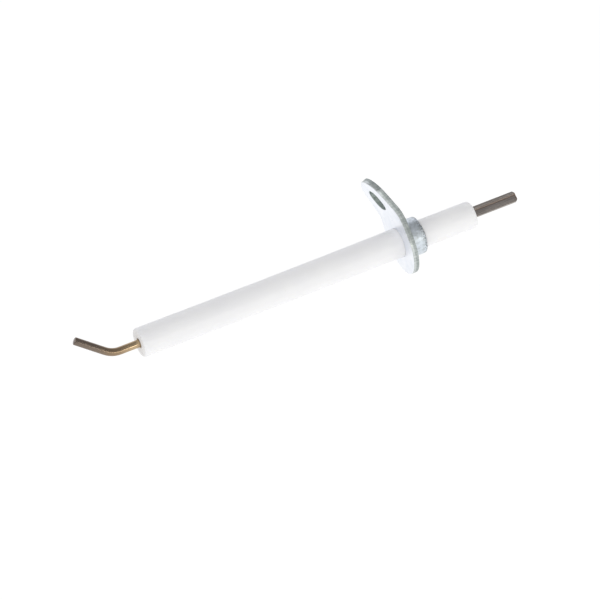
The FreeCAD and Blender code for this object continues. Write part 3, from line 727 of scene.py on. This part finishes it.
# %% Bush section
RIM_ROUND = 0.5 * MM
bush_section = rounded([
    (0.0, TUBE_R + LIP_GAP, 0.02 * MM),
    (0.0, SPIGOT_R + FLARE, 0.0),
    (FLARE, SPIGOT_R, 0.0),
    (PLATE_T, SPIGOT_R, 0.0),
    (PLATE_T, BUSH_R, 0.08 * MM),
    (BUSH_BACK, BUSH_R, RIM_ROUND),
    (BUSH_BACK, RIM_BORE_R, 0.12 * MM),
    (RIM_FRONT, RIM_BORE_R, 0.0),
    (RIM_FRONT, CHAMBER_R, 0.0),
    (SEAT_FRONT, CHAMBER_R, 0.0),
    (SEAT_FRONT, BUSH_BORE_R, 0.0),
    (BUSH_ENTRY, BUSH_BORE_R, 0.0),
], steps=6)
bush_section = divided(bush_section, 0.35 * MM)

# %% Spin and crimp the bush
CRIMP_START = BUSH_BACK - 1.3 * MM
NICK_DEPTH = 0.256 * MM
NICKS_AROUND = 9.0
NICK_LENGTH = 0.5 * MM
MARK_DEPTH = 0.1 * MM
MARKS_AROUND = 2.2
BACK_CORNER = 0.2 * MM
BACK_DENT = 0.14 * MM


def crimped(along, radius, turn_angle):
    """Let the lip follow the sagging tube, and bruise the rim with tool marks and sharp nicks."""
    if along < BUSH_ENTRY / 2 and radius < BUSH_BORE_R:
        return along, radius - TUBE_REST * math.sin(turn_angle)
    if along < CRIMP_START or radius < RIM_BORE_R + 0.1 * MM:
        return along, radius
    share = (along - CRIMP_START) / (BUSH_BACK - CRIMP_START)
    across, height = math.cos(turn_angle), math.sin(turn_angle)
    nick_place = Vector((across * NICKS_AROUND, height * NICKS_AROUND, along / NICK_LENGTH))
    mark_place = Vector((across * MARKS_AROUND, height * MARKS_AROUND, 3.0))
    nick = max(0.0, noise.noise(nick_place)) ** 1.2
    mark = 0.5 + 0.5 * noise.noise(mark_place)
    draw_in = share * share * (NICK_DEPTH * nick + MARK_DEPTH * mark)
    at_back = max(0.0, (along - (BUSH_BACK - BACK_CORNER)) / BACK_CORNER)
    return along - at_back * BACK_DENT * nick, radius - draw_in


builder = bmesh.new()
lathe(builder, bush_section, segments=240, shape=crimped)
for face in builder.faces:
    face.material_index = 1 if face.calc_center_median().x < 0.1 * MM else 0
bush = piece_from("bush_crimped", builder, sharp_over=math.radians(50.0))
bush.data.materials.append(zinc_turned)
bush.data.materials.append(zinc_face)
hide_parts("clamp_bush")
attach(bush, "root")

# %% [markdown]
# ## Dull stainless strip
# The blade terminal is folded from thin stainless strip, so its two edges meet in a seam along one face.
# It is left as rolled: grey, satin, with fine lines along it. Where it was sheared at the tip and along the
# seam, heat from the furnace has left a thin brown.

# %% Dull stainless strip
FOLD_SEAM_HEIGHT = BLADE_SHIFT + 0.3 * MM
stainless, tree, shader, place_of = new_material("stainless_strip_as_rolled")
roll_back = add(tree, "ShaderNodeVectorRotate", {"Vector": place_of, "Angle": -BLADE_ROLL},
                rotation_type="X_AXIS")
axes = add(tree, "ShaderNodeSeparateXYZ", {"Vector": roll_back.outputs["Vector"]})
strip_space = add(tree, "ShaderNodeMapping", {"Vector": roll_back.outputs["Vector"],
                                              "Scale": marks_per_mm(0.09, 3.0, 3.0)})
strip_lines = add(tree, "ShaderNodeTexNoise", {"Vector": strip_space.outputs["Vector"], "Scale": 1.0,
                                               "Detail": 4.0})
dull = add(tree, "ShaderNodeTexNoise", {"Vector": place_of, "Scale": per_mm(1.2), "Detail": 4.0})
strip_colour = add(tree, "ShaderNodeValToRGB", {"Fac": strip_lines.outputs["Fac"]},
                   stops=[(0.3, "#857E79"), (0.5, "#98918B"), (0.7, "#AAA39D")]).outputs["Color"]
to_seam = add(tree, "ShaderNodeMath", {0: axes.outputs["Z"], 1: FOLD_SEAM_HEIGHT}, operation="SUBTRACT")
seam_distance = add(tree, "ShaderNodeMath", {0: to_seam.outputs[0]}, operation="ABSOLUTE")
seam_brown = add(tree, "ShaderNodeMapRange",
                 {"Value": seam_distance.outputs[0], "From Min": 0.05 * MM, "From Max": 0.3 * MM,
                  "To Min": 0.4, "To Max": 0.0}).outputs["Result"]
tip_brown = add(tree, "ShaderNodeMapRange",
                {"Value": axes.outputs["X"], "From Min": BLADE_TIP - 0.45 * MM,
                 "From Max": BLADE_TIP - 0.05 * MM, "To Min": 0.0, "To Max": 0.9}).outputs["Result"]
brown = add(tree, "ShaderNodeMath", {0: seam_brown, 1: tip_brown}, operation="MAXIMUM")
tinted = add(tree, "ShaderNodeMix", {0: brown.outputs[0], 6: strip_colour, 7: linear("#7C5A41")},
             data_type="RGBA")
bump = add(tree, "ShaderNodeBump", {"Height": strip_lines.outputs["Fac"], "Strength": 0.35,
                                    "Distance": 0.03 * MM})
tree.links.new(tinted.outputs[2], shader.inputs["Base Color"])
add(tree, "ShaderNodeMapRange", {"Value": dull.outputs["Fac"], "To Min": 0.3, "To Max": 0.45},
    into=shader.inputs["Roughness"])
tree.links.new(bump.outputs["Normal"], shader.inputs["Normal"])
shader.inputs["Metallic"].default_value = 1.0

# %% [markdown]
# ## Blade terminal
# The blade's section is a flattened loop with tight folds above and below, and a notch where the strip's
# edges meet. The section is carried along the blade and drawn in at the tip, where the corners are
# chamfered so that the connector starts easily. Behind it, hidden in the ceramic, a barrel grips the wire.

# %% Blade section
SEAM_HALF = 0.1 * MM
SEAM_DEPTH = 0.07 * MM
TIP_CHAMFER = 0.55 * MM
FOLD_SHARE = 0.35
TIP_THINNING = 0.14 * MM
THIN_START = 0.6


def blade_section(half_width, half_thick):
    """Section of the folded blade as (across its thickness, up its width) points."""
    seam = FOLD_SEAM_HEIGHT - BLADE_SHIFT
    fold = half_thick * FOLD_SHARE
    return rounded([
        (-half_thick, seam - SEAM_HALF, 0.0),
        (-half_thick + SEAM_DEPTH, seam, 0.0),
        (-half_thick, seam + SEAM_HALF, 0.0),
        (-half_thick, half_width, fold),
        (half_thick, half_width, fold),
        (half_thick, -half_width, fold),
        (-half_thick, -half_width, fold),
    ], steps=5)


# %% Fold the blade
builder = bmesh.new()
blade_stations = [(ROD_BACK, 0.0, 0.0)]
blade_stations += [(ROD_BACK + (BLADE_TIP - TIP_CHAMFER - ROD_BACK) * step / 12, 0.0, 0.0)
                   for step in range(1, 13)]
for step in range(1, 6):
    share = step / 5
    blade_stations.append((BLADE_TIP - TIP_CHAMFER * (1 - share), TIP_CHAMFER * share ** 1.25,
                           TIP_THINNING * max(0.0, share - THIN_START) / (1 - THIN_START)))
rings = []
for along, narrower, thinner in blade_stations:
    section = blade_section(BLADE_HALF_WIDTH - narrower, BLADE_HALF_THICK - thinner)
    rings.append([builder.verts.new((along, across, height + BLADE_SHIFT)) for across, height in section])
join_rings(builder, rings)
builder.faces.new(rings[0])
builder.faces.new(rings[-1])
barrel_section = rounded([
    (BARREL_FRONT, ROD_R, 0.0),
    (BARREL_FRONT, ROD_R + BARREL_WALL, 0.1 * MM),
    (BARREL_FRONT + BARREL_LENGTH, ROD_R + BARREL_WALL, 0.1 * MM),
    (BARREL_FRONT + BARREL_LENGTH, ROD_R, 0.0),
], steps=3)
lathe(builder, barrel_section, segments=48)
bmesh.ops.rotate(builder, verts=builder.verts, matrix=Matrix.Rotation(BLADE_ROLL, 3, "X"))
blade = piece_from("terminal_folded_blade", builder)
blade.data.materials.append(stainless)
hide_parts("terminal_tab")
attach(blade, "root")

# %% [markdown]
# ## Cement
# Refractory cement is poured round the terminal and fired. Only its top shows, as a grainy disc a little
# below the ceramic's end. The solid model's plug fills the socket; a thin skin with a real uneven surface
# lies on it, since a flat disc would look machined.

# %% Refractory cement
cement, tree, shader, place_of = new_material("refractory_cement_poured")
grit = add(tree, "ShaderNodeTexNoise", {"Vector": place_of, "Scale": per_mm(0.3), "Detail": 6.0})
pore = add(tree, "ShaderNodeTexVoronoi", {"Vector": place_of, "Scale": per_mm(0.4)})
add(tree, "ShaderNodeValToRGB", {"Fac": grit.outputs["Fac"]},
    stops=[(0.3, "#B9B2A4"), (0.7, "#DDD8CC")], into=shader.inputs["Base Color"])
add(tree, "ShaderNodeMapRange", {"Value": grit.outputs["Fac"], "To Min": 0.8, "To Max": 0.95},
    into=shader.inputs["Roughness"])
bump = add(tree, "ShaderNodeBump", {"Height": pore.outputs["Distance"], "Strength": 0.5,
                                    "Distance": 0.08 * MM})
tree.links.new(bump.outputs["Normal"], shader.inputs["Normal"])

# %% Pour the cement's top
CEMENT_LAYERS = 7
CEMENT_SKIN = 0.05 * MM
CEMENT_CLIMB = 0.08 * MM
LUMP_HEIGHT = 0.03 * MM
LUMP_SIZE = 0.5 * MM
BLADE_GAP = 0.01 * MM
builder = bmesh.new()
blade_hole = [(across * 1.02, (height + BLADE_SHIFT)) for across, height in
              blade_section(BLADE_HALF_WIDTH + BLADE_GAP, BLADE_HALF_THICK + BLADE_GAP)]
layers = []
for layer in range(CEMENT_LAYERS + 1):
    share = layer / CEMENT_LAYERS
    ring = []
    for across, height in blade_hole:
        bearing = math.atan2(height, across)
        rim_y, rim_z = SOCKET_R * math.cos(bearing), SOCKET_R * math.sin(bearing)
        y, z = across + (rim_y - across) * share, height + (rim_z - height) * share
        lumps = noise.noise(Vector((y / LUMP_SIZE, z / LUMP_SIZE, 1.7)))
        climb = CEMENT_CLIMB * (abs(2 * share - 1) ** 3) + LUMP_HEIGHT * lumps
        ring.append(builder.verts.new((CEMENT_FACE + CEMENT_SKIN + climb, y, z)))
    layers.append(ring)
under = [[builder.verts.new((CEMENT_FACE, point.co.y, point.co.z)) for point in ring]
         for ring in (layers[0], layers[-1])]
join_rings(builder, [under[0]] + layers + [under[1], under[0]])
bmesh.ops.rotate(builder, verts=builder.verts, matrix=Matrix.Rotation(BLADE_ROLL, 3, "X"))
cement_top = piece_from("cement_poured_top", builder, sharp_over=math.radians(70.0))
cement_top.data.materials.append(cement)
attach(cement_top, "root")

# %% [markdown]
# ## Hidden pieces
# Three solids never show unless the probe is taken apart: the cement plug, the seat washer and the packing
# ring. They keep their solids and get a finish of their own, so that a cut through the bush looks right.

# %% Annealed washer and pressed packing
washer_steel, tree, shader, place_of = new_material("annealed_steel_washer")
scale_pattern = add(tree, "ShaderNodeTexNoise", {"Vector": place_of, "Scale": per_mm(0.8), "Detail": 4.0})
add(tree, "ShaderNodeValToRGB", {"Fac": scale_pattern.outputs["Fac"]},
    stops=[(0.3, "#6E6E70"), (0.7, "#929296")], into=shader.inputs["Base Color"])
add(tree, "ShaderNodeMapRange", {"Value": scale_pattern.outputs["Fac"], "To Min": 0.35, "To Max": 0.55},
    into=shader.inputs["Roughness"])
shader.inputs["Metallic"].default_value = 1.0

pressed_packing, tree, shader, place_of = new_material("pressed_mica_packing")
flake = add(tree, "ShaderNodeTexVoronoi", {"Vector": place_of, "Scale": per_mm(0.5)})
add(tree, "ShaderNodeValToRGB", {"Fac": flake.outputs["Distance"]},
    stops=[(0.1, "#8F8672"), (0.7, "#BDB49D")], into=shader.inputs["Base Color"])
shader.inputs["Roughness"].default_value = 0.7

# %% Finish the solids that stay
for node_name, finish in (("terminal_cement", cement), ("seat_washer", washer_steel),
                          ("packing_ring", pressed_packing)):
    node_mesh = frame["nodes"][node_name].data
    node_mesh.materials.clear()
    node_mesh.materials.append(finish)
print("kept solids:", 3)

# %% [markdown]
# ## Studio
# The probe is shown over a pale table that is lit from within, so the background burns out to white and
# the underside of the tube is brighter than its top. A white wall stands behind it. A large key panel
# stands in front, others stand above left, behind, low in front and at the right. The rest of the room is
# dimmer, and the metal mirrors that as its grey edges.

# %% Table
ROOM_FRONT = Vector((math.sin(math.radians(-17.0)), -math.cos(math.radians(-17.0)), 0.0))
FLOOR_DROP = 0.16
FLOOR_SIZE = 40.0
TABLE_GLOW = 0.91
TABLE_FRONT_GLOW = 0.5
TABLE_GLOW_END = 0.18
TABLE_DIM_START = 0.7
floor_material, tree, shader, place_of = new_material("opal_light_table")
shader.inputs["Base Color"].default_value = linear("#7F7F7F")
shader.inputs["Roughness"].default_value = 0.9
shader.inputs["Specular IOR Level"].default_value = 0.0
shader.inputs["Emission Color"].default_value = (1.0, 1.0, 1.0, 1.0)
forward = add(tree, "ShaderNodeVectorMath", {0: place_of, 1: tuple(ROOM_FRONT)}, operation="DOT_PRODUCT")
add(tree, "ShaderNodeMapRange", {"Value": forward.outputs["Value"],
                                 "From Min": TABLE_GLOW_END, "From Max": TABLE_DIM_START,
                                 "To Min": TABLE_GLOW, "To Max": TABLE_FRONT_GLOW},
    into=shader.inputs["Emission Strength"])
floor_mesh = bpy.data.meshes.new("studio_table")
half_floor = FLOOR_SIZE / 2
floor_mesh.from_pydata([(-half_floor, -half_floor, 0.0), (half_floor, -half_floor, 0.0),
                        (half_floor, half_floor, 0.0), (-half_floor, half_floor, 0.0)], [], [(0, 1, 2, 3)])
floor_mesh.materials.append(floor_material)
floor = bpy.data.objects.new("studio_table", floor_mesh)
floor.location.z = cad_box[0][2] - FLOOR_DROP
bpy.context.scene.collection.objects.link(floor)

# %% Light panels
TUBE_MIDDLE = Vector(((FLAME_END + TAIL_END) / 2, 0.0, 0.0))


def panel(name, azimuth, elevation, distance, width, height, power, colour):
    """Soft panel light that looks at the middle of the tube from an azimuth and elevation in degrees."""
    light = bpy.data.lights.new(name, "AREA")
    light.shape = "RECTANGLE"
    light.size = width
    light.size_y = height
    light.energy = power
    light.color = linear(colour)[:3]
    around, over = math.radians(azimuth), math.radians(elevation)
    arm = Vector((math.sin(around) * math.cos(over), -math.cos(around) * math.cos(over), math.sin(over)))
    lamp = bpy.data.objects.new(name, light)
    lamp.location = TUBE_MIDDLE + arm * distance
    lamp.rotation_euler = arm.to_track_quat("Z", "Y").to_euler()
    bpy.context.scene.collection.objects.link(lamp)


panel("panel_key", -17, 25, 1.2, 0.9, 0.5, 2.9, "#FFFFFF")
panel("panel_above_left", -75, 50, 1.0, 0.6, 0.6, 1.45, "#FFFFFF")
panel("panel_behind", 163, 62, 1.0, 0.9, 0.4, 0.4, "#EFEFFC")
panel("panel_low", 10, -20, 0.45, 0.16, 0.05, 0.12, "#FFFBF4")
panel("panel_right", 38, 4, 0.8, 0.22, 0.16, 0.3, "#FFFCF0")

# %% Room
DIM_ROOM = 0.43
WHITE_WALL = 1.0
world = bpy.data.worlds.new("studio_room")
bpy.context.scene.world = world
world.use_nodes = True
room = world.node_tree
direction = add(room, "ShaderNodeTexCoord").outputs["Generated"]
facing = add(room, "ShaderNodeVectorMath", {0: direction, 1: tuple(-ROOM_FRONT)}, operation="DOT_PRODUCT")
sky = room.nodes["Background"]
sky.inputs["Color"].default_value = linear("#F6F6F9")
add(room, "ShaderNodeMapRange", {"Value": facing.outputs["Value"], "From Min": 0.0, "From Max": 0.75,
                                 "To Min": DIM_ROOM, "To Max": WHITE_WALL},
    into=sky.inputs["Strength"], interpolation_type="SMOOTHSTEP")
bpy.context.scene.view_settings.view_transform = "Standard"
